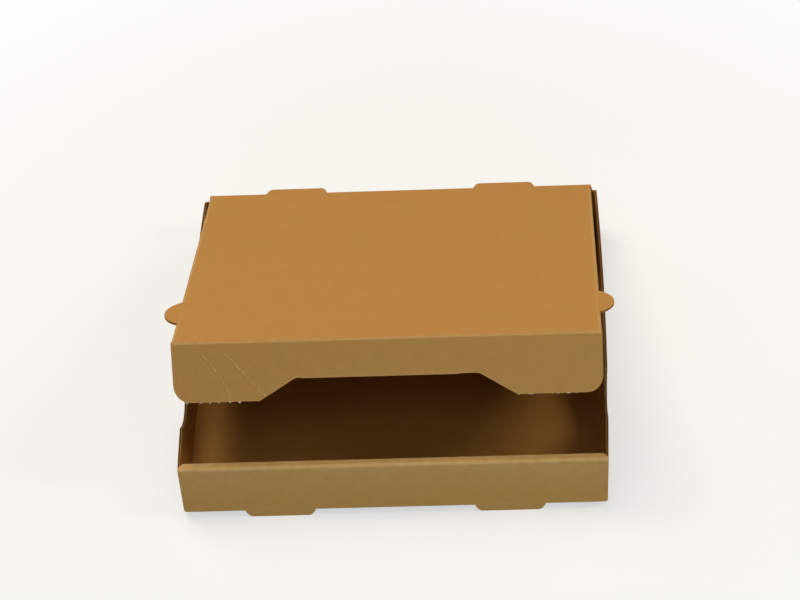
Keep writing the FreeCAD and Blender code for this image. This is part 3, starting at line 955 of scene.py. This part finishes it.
# %% [markdown]
# ## Outline of the lid
#
# The lid is a panel with a flap folded down at each side, like the floor turned over. It isn't quite
# flat, because board dries unevenly: a few tenths of a millimetre of swell that dies out at the creases.
# It is in the mesh, because bump would leave the lid's outline straight.

# %% Lid outline and swell
LID_FLAT = LID_HALF - BEND - HALF
SIDE_FLAP_DEPTH = 43.2
SIDE_FLAP_END = SIDE_FLAP_DEPTH - BEND + QUARTER
SIDE_FLAP_ALONG = (5.3, 289.6)
REAR_CORNER, FRONT_CORNER = 6.0, 20.0
SWELL = 0.35
DOME, DIAGONAL = 0.7, 0.5               # shares of the swell
WAVE_ALONG, WAVE_ACROSS = 2.2, 2.6      # radians of the wave along the lid, and out to one side
lid_at = hinge_at + (BEND * np.tan((np.pi / 2 - LID_ANGLE) / 2) - BEND * (np.pi / 2 - LID_ANGLE) / 2)


def lid_swell(u, v):
    """A low dome and one diagonal wave over the lid, zero at its rear and front creases."""
    a = np.clip((u - lid_at - SIDE_FLAP_ALONG[0]) / (SIDE_FLAP_ALONG[1] - SIDE_FLAP_ALONG[0]), 0, 1)
    b = np.clip(v, -LID_FLAT, LID_FLAT) / LID_FLAT
    wave = np.sin(WAVE_ALONG * a + WAVE_ACROSS * b)
    return SWELL * np.sin(np.pi * a) * (DOME * (1 - b * b) + DIAGONAL * wave)


def place_lid(u, v, w):
    return folded(u, v, w, flat_half=LID_FLAT, turn=np.pi / 2, swell=lid_swell(u, v))


def place_ear(u, v, w):
    return folded(u, v, w, swell=lid_swell(u, v))


def side_flap_edge(u):
    """Distance from the middle of the lid to the lower edge of its side flap."""
    along = u - lid_at
    return (LID_FLAT + SIDE_FLAP_END - round_corner(along - SIDE_FLAP_ALONG[0], REAR_CORNER)
            - round_corner(SIDE_FLAP_ALONG[1] - along, FRONT_CORNER))


first, last = (lid_at + a for a in SIDE_FLAP_ALONG)
print("lid swells by up to", round(lid_swell(np.linspace(first, last, 50), 0).max(), 2), "mm")

# %% [markdown]
# ## Ears
#
# An ear at each side keeps the shut lid from sliding. It stays flat where the crease stops: it is a
# pointed half oval cut into the side flap, so the flap has the same half oval missing. The ear and the
# rest of the flap are two bands with one shared outline.

# %% Lid, side flaps and ears
EAR_HALF, EAR_REACH, EAR_HOLE = 19.6, 12.0, 10.77   # half its length, its width, the hole's depth
EAR_POINT = 0.7             # 0.5 would be half an ellipse, more is more pointed
BELOW_EAR = np.linspace(0, 1, 12) ** 1.5    # columns, closer together along the hole


def oval(u):
    """1 in the middle of the ear, falling to 0 at its ends: 1 - t^2 to the power EAR_POINT."""
    return np.clip(1 - ((u - lid_at - EAR_ALONG) / EAR_HALF) ** 2, 0, 1) ** EAR_POINT


def outside_ear(u, v):
    """The panel everywhere, and the flaps beyond the ear."""
    return (np.abs(v) < LID_FLAT) | (np.abs(u - lid_at - EAR_ALONG) > EAR_HALF)


def oval_rows(step=1.0):
    """Rows through the ear, closer together towards its steep ends."""
    t = np.linspace(-np.pi / 2, np.pi / 2, round(2 * EAR_HALF / step))
    return lid_at + EAR_ALONG + EAR_HALF * np.sin(t)


ear_ends = (lid_at + EAR_ALONG - EAR_HALF, lid_at + EAR_ALONG + EAR_HALF)
lid_rows = np.unique(np.round(np.concatenate([
    spread(first, last, 6.0, *ear_ends), first + REAR_CORNER * (1 - np.cos(np.linspace(0, np.pi / 2, 8))),
    last - FRONT_CORNER * (1 - np.cos(np.linspace(0, np.pi / 2, 12)))]), 6))
lid = patch(trough_grid(LID_FLAT, side_flap_edge, step=22.0, rise=3), lid_rows, place_lid, outside_ear,
            crease_marks(LID_FLAT), step=LONG_WAVE_STEP)
for sign in (-1, 1):
    ear = band(lambda u: np.full_like(u, LID_FLAT), lambda u: LID_FLAT + EAR_REACH * oval(u), sign,
               np.linspace(0, 1, 5))
    below = band(lambda u: LID_FLAT + EAR_HOLE * oval(u), side_flap_edge, sign, BELOW_EAR)
    lid += patch(ear, oval_rows(), place_ear) + patch(below, oval_rows(), place_lid)
print("ears", round(2 * EAR_HALF, 1), "by", EAR_REACH, "mm")

# %% [markdown]
# ## Rear tabs
#
# Two short tabs go straight on behind the rear crease, and swing down through the back wall's notches
# as the lid opens. They are tongues like the feet, and stiff with the lid, so they are in its piece.

# %% Rear tabs
TAB_SLOPE, TAB_CORNER = 3.0, 2.4
tab_line = spine.straight_from(first)
for sign in (-1, 1):
    lid += tongue(first, lid_at, lid_at - TAB_REACH, tab_line, TAB_INNER, TAB_LENGTH, TAB_SLOPE,
                  TAB_CORNER, sign)
lid_piece = lay("lid_board", lid, papers, "lid")
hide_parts("lid")

# %% [markdown]
# ## Rear crease
#
# A crease that hinges is still board, so it is modelled as board: a narrow strip of the same three
# layers. Two stiff panels would part or cross there when the lid moves. It is left out around the tabs.

# %% Rear crease
TAB_FREE = 0.4              # past the crease the strip closes up round the tabs


def rear_keep(u, v):
    """The strip beside the tabs. Round the crease and below it, a slot wider than the tab is open."""
    tab = (np.abs(v) > TAB_INNER) & (np.abs(v) < TAB_INNER + TAB_LENGTH)
    return np.where(u > spine.ends[lid_crease] + TAB_FREE, ~tab, outside_notch(v))


def bend_rows(start, end, crease, *marks):
    """Rows over a hinge strip, close together round its crease."""
    return np.unique(np.round(np.concatenate([spread(start, end, 1.0, *marks), spine.rows_of(crease)]), 6))


def rear_half(u):
    return np.interp(u, [back_top, hinge_at], [BACK_HALF, LID_HALF])


rear_marks = both_sides(notch_inner, TAB_INNER, TAB_INNER + TAB_LENGTH, notch_outer)
rear_strip = patch(strip(rear_half, *rear_marks, step=20.0),
                   bend_rows(back_top, first, lid_crease, spine.ends[lid_crease] + TAB_FREE), folded,
                   rear_keep, crease_marks())
rear_crease = lay("lid_rear_crease", rear_strip, papers)
folded(spine.starts[lid_crease] - 0.7, 0, 0)
folded(spine.ends[lid_crease] + 0.7, 0, 0)
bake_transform(rear_crease)

# %% [markdown]
# ## Front crease and the scuffed liner
#
# The flap's crease is a strip of the same kind. It starts where the lid's panel ends and reaches a few
# millimetres down the flap. From here on the outer paper is a second liner, painted a little darker than
# the lid's as painted shade, with a paler crease and rim, and with the two scuffs on the flap's left leg.
# Their points are written from the middle of the flap and down from its crease.

# %% Front crease
STRIP_DOWN = 5.0            # the front strip ends this far below the front hinge
# the flap's liner is painted this much darker than the lid's: painted shade
FLAP_PAINTED_SHADE = 0.86
SCUFFS = (([(-127.9, 8.8), (-121.6, 16.6), (-112.4, 32.6), (-110.3, 41.0)], 0.6, 0.6),
          ([(-112.0, 8.1), (-101.0, 20.6), (-88.6, 37.0), (-85.6, 40.2)], 0.5, 0.9))
flap_at = (spine.starts[flap_crease] + spine.ends[flap_crease]) / 2
strip_end = flap_at + STRIP_DOWN


def front_strip_half(u):
    return np.interp(u, [last, flap_at], [LID_HALF, FLAP_HALF])


front_strip = patch(strip(front_strip_half, step=12.0), bend_rows(last, strip_end, flap_crease), folded,
                    crease=crease_marks())
scuff_lines = [([((flap_at + depth) / 1000, v / 1000) for v, depth in points], width / 1000, strength)
               for points, width, strength in SCUFFS]
flap_papers = [kraft_liner("kraft_liner_scuffed_painted_shade", RIM_PALE, scuff_lines, FLAP_PAINTED_SHADE), fluting, cut_edge]
front_crease = lay("lid_front_crease", front_strip, flap_papers)
folded(spine.starts[flap_crease] - 0.5, 0, 0)
folded(spine.ends[flap_crease] + 0.5, 0, 0)
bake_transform(front_crease)

# %% [markdown]
# ## Outline of the front flap
#
# The flap has two legs with rounded corners and a wide finger cut-out between them. The die left a small
# step in the cut-out's edge, and the legs' edges are ragged where they were torn from the sheet. All of
# it is one function, the depth of the lower edge at each place across.

# %% Flap outline
CORNER_WIDE, CORNER_TALL = 10.8, 13.0
LEG_TEARS = ((-142.0, -99.0), (90.5, 133.0))
RAGGED = 0.22               # how far the tearing left the legs' edges from straight
RAGGED_FINE, RAGGED_COARSE = 1.9, 0.7   # its two waves, in radians to a millimetre
CUT_TOP = 26.8              # below the hinge
CUT_HALF, CUT_SLOPE, CUT_CORNER = 63.7, 26.0, 2.0
CUT_ROUND = 0.3             # how far the cut-out's two upper corners are rounded
CUT_STEP_AT, CUT_STEP = 50.0, 0.5
RIM = 0.8                   # the die crushes and pales this much of the flap's edge


def flap_edge(v):
    """Depth of the flap's lower edge at a distance v from the middle: straight lines through the
    corners of the cut-out, less the rounded corners, plus the product of two sine waves on the legs."""
    a = np.abs(v)
    depth = np.interp(a, [CUT_HALF, CUT_HALF + CUT_SLOPE], [CUT_TOP, FLAP_DEPTH])
    near = np.clip(1 - np.abs(a - CUT_HALF) / CUT_CORNER, 0, 1)
    depth = depth + CUT_ROUND * near ** 2 + CUT_STEP * (v < CUT_STEP_AT) * (a < CUT_HALF - CUT_CORNER)
    for start, end in LEG_TEARS:
        torn_here = np.clip((v - start) * (end - v), 0, 1)
        depth = depth + RAGGED * torn_here * np.sin(RAGGED_FINE * v) * np.sin(RAGGED_COARSE * v + 1)
    return depth - CORNER_TALL / CORNER_WIDE * round_corner(FLAP_HALF - a, CORNER_WIDE)


def rim_mark(u, v):
    """1 on the flap's lower edge, falling to 0 at RIM above it."""
    return np.clip(1 - (flap_at + flap_edge(v) - u) / RIM, 0, 1)


print("flap is", round(flap_edge(-120.0), 1), "mm deep at a leg and", round(flap_edge(0.0), 1), "mm between")

# %% [markdown]
# ## Front flap
#
# A cut-out could be taken from a plate with a Boolean modifier, but that leaves long thin faces. Here the
# rows of the grid follow the outline: each lies a fraction of the way from the crease to the edge, so
# that corners, legs and cut-out are all one grid.

# %% Front flap
LEG_STEP = 0.6              # between columns along the ragged edges
FLAP_ROWS = np.append(np.linspace(0, 0.9, 8), [0.978, 1])   # shares of the depth, the last at the rim
flap_line = spine.straight_from(spine.ends[flap_crease])
flap_columns = np.unique(np.round(np.concatenate([
    spread(CORNER_WIDE - FLAP_HALF, FLAP_HALF - CORNER_WIDE, 5.0,
           *both_sides(CUT_HALF, CUT_HALF + CUT_SLOPE)),
    *[np.arange(start, end, LEG_STEP) for start, end in LEG_TEARS],
    both_sides(*np.linspace(CUT_HALF - CUT_CORNER, CUT_HALF + CUT_CORNER, 9)),
    [CUT_STEP_AT - 0.1, CUT_STEP_AT + 0.1],
    both_sides(*(FLAP_HALF - CORNER_WIDE * (1 - np.cos(np.linspace(0, np.pi / 2, 14)))))]), 6))
strip_depth = strip_end - flap_at


def flap_grid(rows):
    """Rows from the strip's end down to the lower edge, as fractions of the depth at each column."""
    edge = flap_edge(flap_columns)
    depth = strip_depth + rows[:, None] * (edge - strip_depth)
    return flap_at + depth, np.tile(flap_columns, (len(rows), 1))


flap_step = WAVE_STEP / (FLAP_DEPTH - STRIP_DOWN)
flap = patch(flap_grid, FLAP_ROWS, lambda u, v, w: folded(u, v, w, line=flap_line), crease=rim_mark,
             step=flap_step)
flap_piece = lay("front_flap_board", flap, flap_papers, "front_flap")
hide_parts("front_flap")

# %% [markdown]
# ## Torn nicks
#
# While the sheet lay flat, a few uncut bridges held the flap in it. Pulled apart, each leaves a tuft one
# to five millimetres wide. A tuft is a small pad: the board's thickness narrows to a ragged end, which is a
# half sine across its width. Its length is drawn at random a little, with a fixed seed, so that no two
# are alike and every run gives the same.

# %% Torn nicks
NICKS = ((-140.6, 1.6, 1.3), (-130.9, 2.6, 0.8), (-124.5, 1.8, 1.1), (-118.3, 1.4, 1.2), (-110.4, 2.0, 0.9),
         (-103.8, 2.4, 1.3), (90.7, 1.8, 0.8), (99.0, 5.0, 0.7), (114.0, 1.6, 0.7), (118.3, 1.8, 0.9),
         (125.0, 3.0, 0.9), (130.6, 1.5, 0.8))     # place, width, length
TUFT_ROOT = 0.25            # a tuft starts this far above the edge
TUFT_HALF, TUFT_TAPER = 0.62, 0.65      # half its thickness, and the share of it lost at the end
UNEVEN = 0.25               # how much a tuft's length differs from place to place, as a share
rng = np.random.default_rng(7)


def nick(v_middle, width, length):
    """A tuft below the flap's lower edge: length times a half sine across, thinner at its end."""
    across = np.linspace(-1, 1, 9)
    down = np.linspace(0, 1, 5)[:, None]
    reach = length * np.cos(across * np.pi / 2) * (1 + UNEVEN * rng.uniform(-1, 1, across.size))
    v = v_middle + across * width / 2 + 0 * down
    u = flap_at + flap_edge(v) - TUFT_ROOT + down * (TUFT_ROOT + np.abs(reach))
    thick = TUFT_HALF * (1 - TUFT_TAPER * down) + 0 * across
    upper, lower = (folded(u, v, side * thick, line=flap_line) for side in (1, -1))
    quads = shell(upper, lower, np.ones((down.size - 1, across.size - 1), bool))[0]
    sheet = np.stack([u, v], -1).reshape(-1, 2) / 1000
    return (np.concatenate([upper.reshape(-1, 3), lower.reshape(-1, 3)]), quads, np.tile(sheet, (2, 1)),
            np.zeros(2 * u.size), np.zeros(len(quads), int))


tufts = [nick(*torn_bridge) for torn_bridge in NICKS]
lay("torn_nicks", tufts, [torn], "front_flap")

# %% [markdown]
# ## Lamps
#
# Six soft lamps light the box, each a rectangle that shines at its middle. The overhead one is warm and
# a little left of the middle, so it lights the lid and, through the gap beside it, a strip of the floor
# inside. The long front one is cool, and too low to reach the floor through the mouth, so the inside
# stays dark. A weak one high in front softens that, the right one puts a patch of light on the floor at
# the right, and two small ones fill the rear.

# %% Lamps
LIGHTS = {                  # place, size, watts, colour
    "overhead": ((-0.38, 0.25, 1.75), (0.85, 1.3), 19.3, (1.0, 0.94, 0.76)),
    "front": ((0.15, -1.60, 0.24), (2.0, 0.34), 17.5, (0.62, 0.81, 1.0)),
    "high_front": ((-0.1, -1.21, 1.45), (1.6, 0.45), 2.8, (0.9, 0.93, 0.9)),
    "right": ((1.06, -0.36, 1.16), (0.22, 0.45), 4.6, (1.0, 0.93, 0.70)),
    "rear_left": ((-1.15, 1.05, 0.50), (0.7, 0.5), 5.0, (1.0, 0.96, 0.90)),
    "rear_right": ((1.15, 1.05, 0.50), (0.7, 0.5), 4.5, (1.0, 0.96, 0.90)),
}
AIM = np.array([0.0, 0.0, 0.06])


def look(eye, target):
    """Matrix of a lamp at eye that shines at target."""
    back = (np.array(eye) - target) / np.linalg.norm(np.array(eye) - target)
    right = np.cross((0, 0, 1), back)
    right = right / np.linalg.norm(right) if np.linalg.norm(right) > 1e-6 else np.array([1.0, 0, 0])
    return Matrix([[*row, e] for row, e in zip(np.stack([right, np.cross(back, right), back], 1), eye)]
                  + [[0, 0, 0, 1]])


for name, (eye, size, power, colour) in LIGHTS.items():
    lamp = bpy.data.lights.new("lamp_" + name, "AREA")
    lamp.shape, (lamp.size, lamp.size_y), lamp.energy, lamp.color = "RECTANGLE", size, power, colour
    holder = bpy.data.objects.new("lamp_" + name, lamp)
    bpy.context.scene.collection.objects.link(holder)
    holder.matrix_world = look(eye, AIM)
print("lamps", {name: power for name, (eye, size, power, colour) in LIGHTS.items()})

# %% [markdown]
# ## Floor
#
# The box stands on a plain white sheet. To the camera the sheet is white and keeps the box's shadow, and
# past the pool of light it turns to the white of the background. The light that it throws back at the
# box is that of a grey sheet, so that the undersides of the flaps stay as deep as they are. Light Path
# tells the two apart.

# %% White sheet
FLOOR_REACH = 3.0
FLOOR_BOUNCE = "#606060"
FADE_START, FADE_END, FADE_LEAST = 0.3, 0.7, 0.58   # metres from the middle, and share of white there
floor_mesh = bpy.data.meshes.new("white_sheet")
floor_mesh.from_pydata([(x, y, 0) for x, y in ((-FLOOR_REACH, -FLOOR_REACH), (FLOOR_REACH, -FLOOR_REACH),
                                               (FLOOR_REACH, FLOOR_REACH), (-FLOOR_REACH, FLOOR_REACH))],
                       [], [(0, 1, 2, 3)])
floor = bpy.data.objects.new("white_sheet", floor_mesh)
bpy.context.scene.collection.objects.link(floor)
floor_paint, tree, shader = finish_named("white_paper_floor")
floor_mesh.materials.append(floor_paint)
rays = add(tree, "LightPath", out=None)
seen = add(tree, "Math", {0: rays["Is Camera Ray"], 1: rays["Is Glossy Ray"]}, operation="MAXIMUM")
tone = add(tree, "Mix", {0: seen, 6: linear(FLOOR_BOUNCE), 7: linear("#ffffff")}, 2, data_type="RGBA")
fill(tree, shader, {"Base Color": tone, "Roughness": 0.9, "Specular IOR Level": 0.0})
spot = add(tree, "TexCoord", out="Object")
far = add(tree, "VectorMath", {0: spot}, "Value", operation="LENGTH")
fade = add(tree, "MapRange", {0: far, 1: FADE_START, 2: FADE_END, 3: FADE_LEAST},
           interpolation_type="SMOOTHSTEP")
white = add(tree, "Emission", {"Color": (1, 1, 1, 1), "Strength": 1.0})
share = add(tree, "Math", {0: fade, 1: seen}, operation="MULTIPLY")
mixed = add(tree, "MixShader", {0: share, 1: shader.outputs[0], 2: white})
fill(tree, tree.nodes["Material Output"], {"Surface": mixed})
print("sheet", 2 * FLOOR_REACH, "m wide, white from", FADE_END, "m out")

# %% [markdown]
# ## World
#
# The world is white where the camera or a reflection sees it, and nearly dark as a light, because the
# lamps do the lighting. The Standard view shows each colour about as it is written.

# %% World
WORLD_LEVEL = 0.02
world = bpy.data.worlds.new("studio_white")
bpy.context.scene.world = world
world.use_nodes = True
air = world.node_tree
rays = add(air, "LightPath", out=None)
seen = add(air, "Math", {0: rays["Is Camera Ray"], 1: rays["Is Glossy Ray"]}, operation="MAXIMUM")
level = add(air, "MapRange", {0: seen, 3: WORLD_LEVEL, 4: 1.0})
fill(air, air.nodes["Background"], {"Strength": level, "Color": (1, 1, 1, 1)})
bpy.context.scene.view_settings.view_transform = "Standard"
print("world level", WORLD_LEVEL)

# %% [markdown]
# ## Camera
#
# The photograph was taken from above and a little to the right, with a long lens. Its place and turn were
# fitted once to the corners of the box. The three directions are the camera's own right, down and forward.

# %% Camera
EYE = (0.1076, -1.5945, 1.4662)
LENS = 129.05
camera_axes = np.array([(0.99839, 0.01762, -0.05398), (-0.02884, -0.6615, -0.74939),
                        (-0.04891, 0.74974, -0.65992)])
camera = bpy.data.cameras.new("camera")
camera.lens, camera.sensor_width = LENS, 36.0
viewer = bpy.data.objects.new("camera", camera)
bpy.context.scene.collection.objects.link(viewer)
turned = camera_axes * np.array([[1], [-1], [-1]])
viewer.matrix_world = Matrix([[*row, e] for row, e in zip(turned.T, EYE)] + [[0, 0, 0, 1]])
bpy.context.scene.camera = viewer
print("camera", EYE, "lens", LENS)
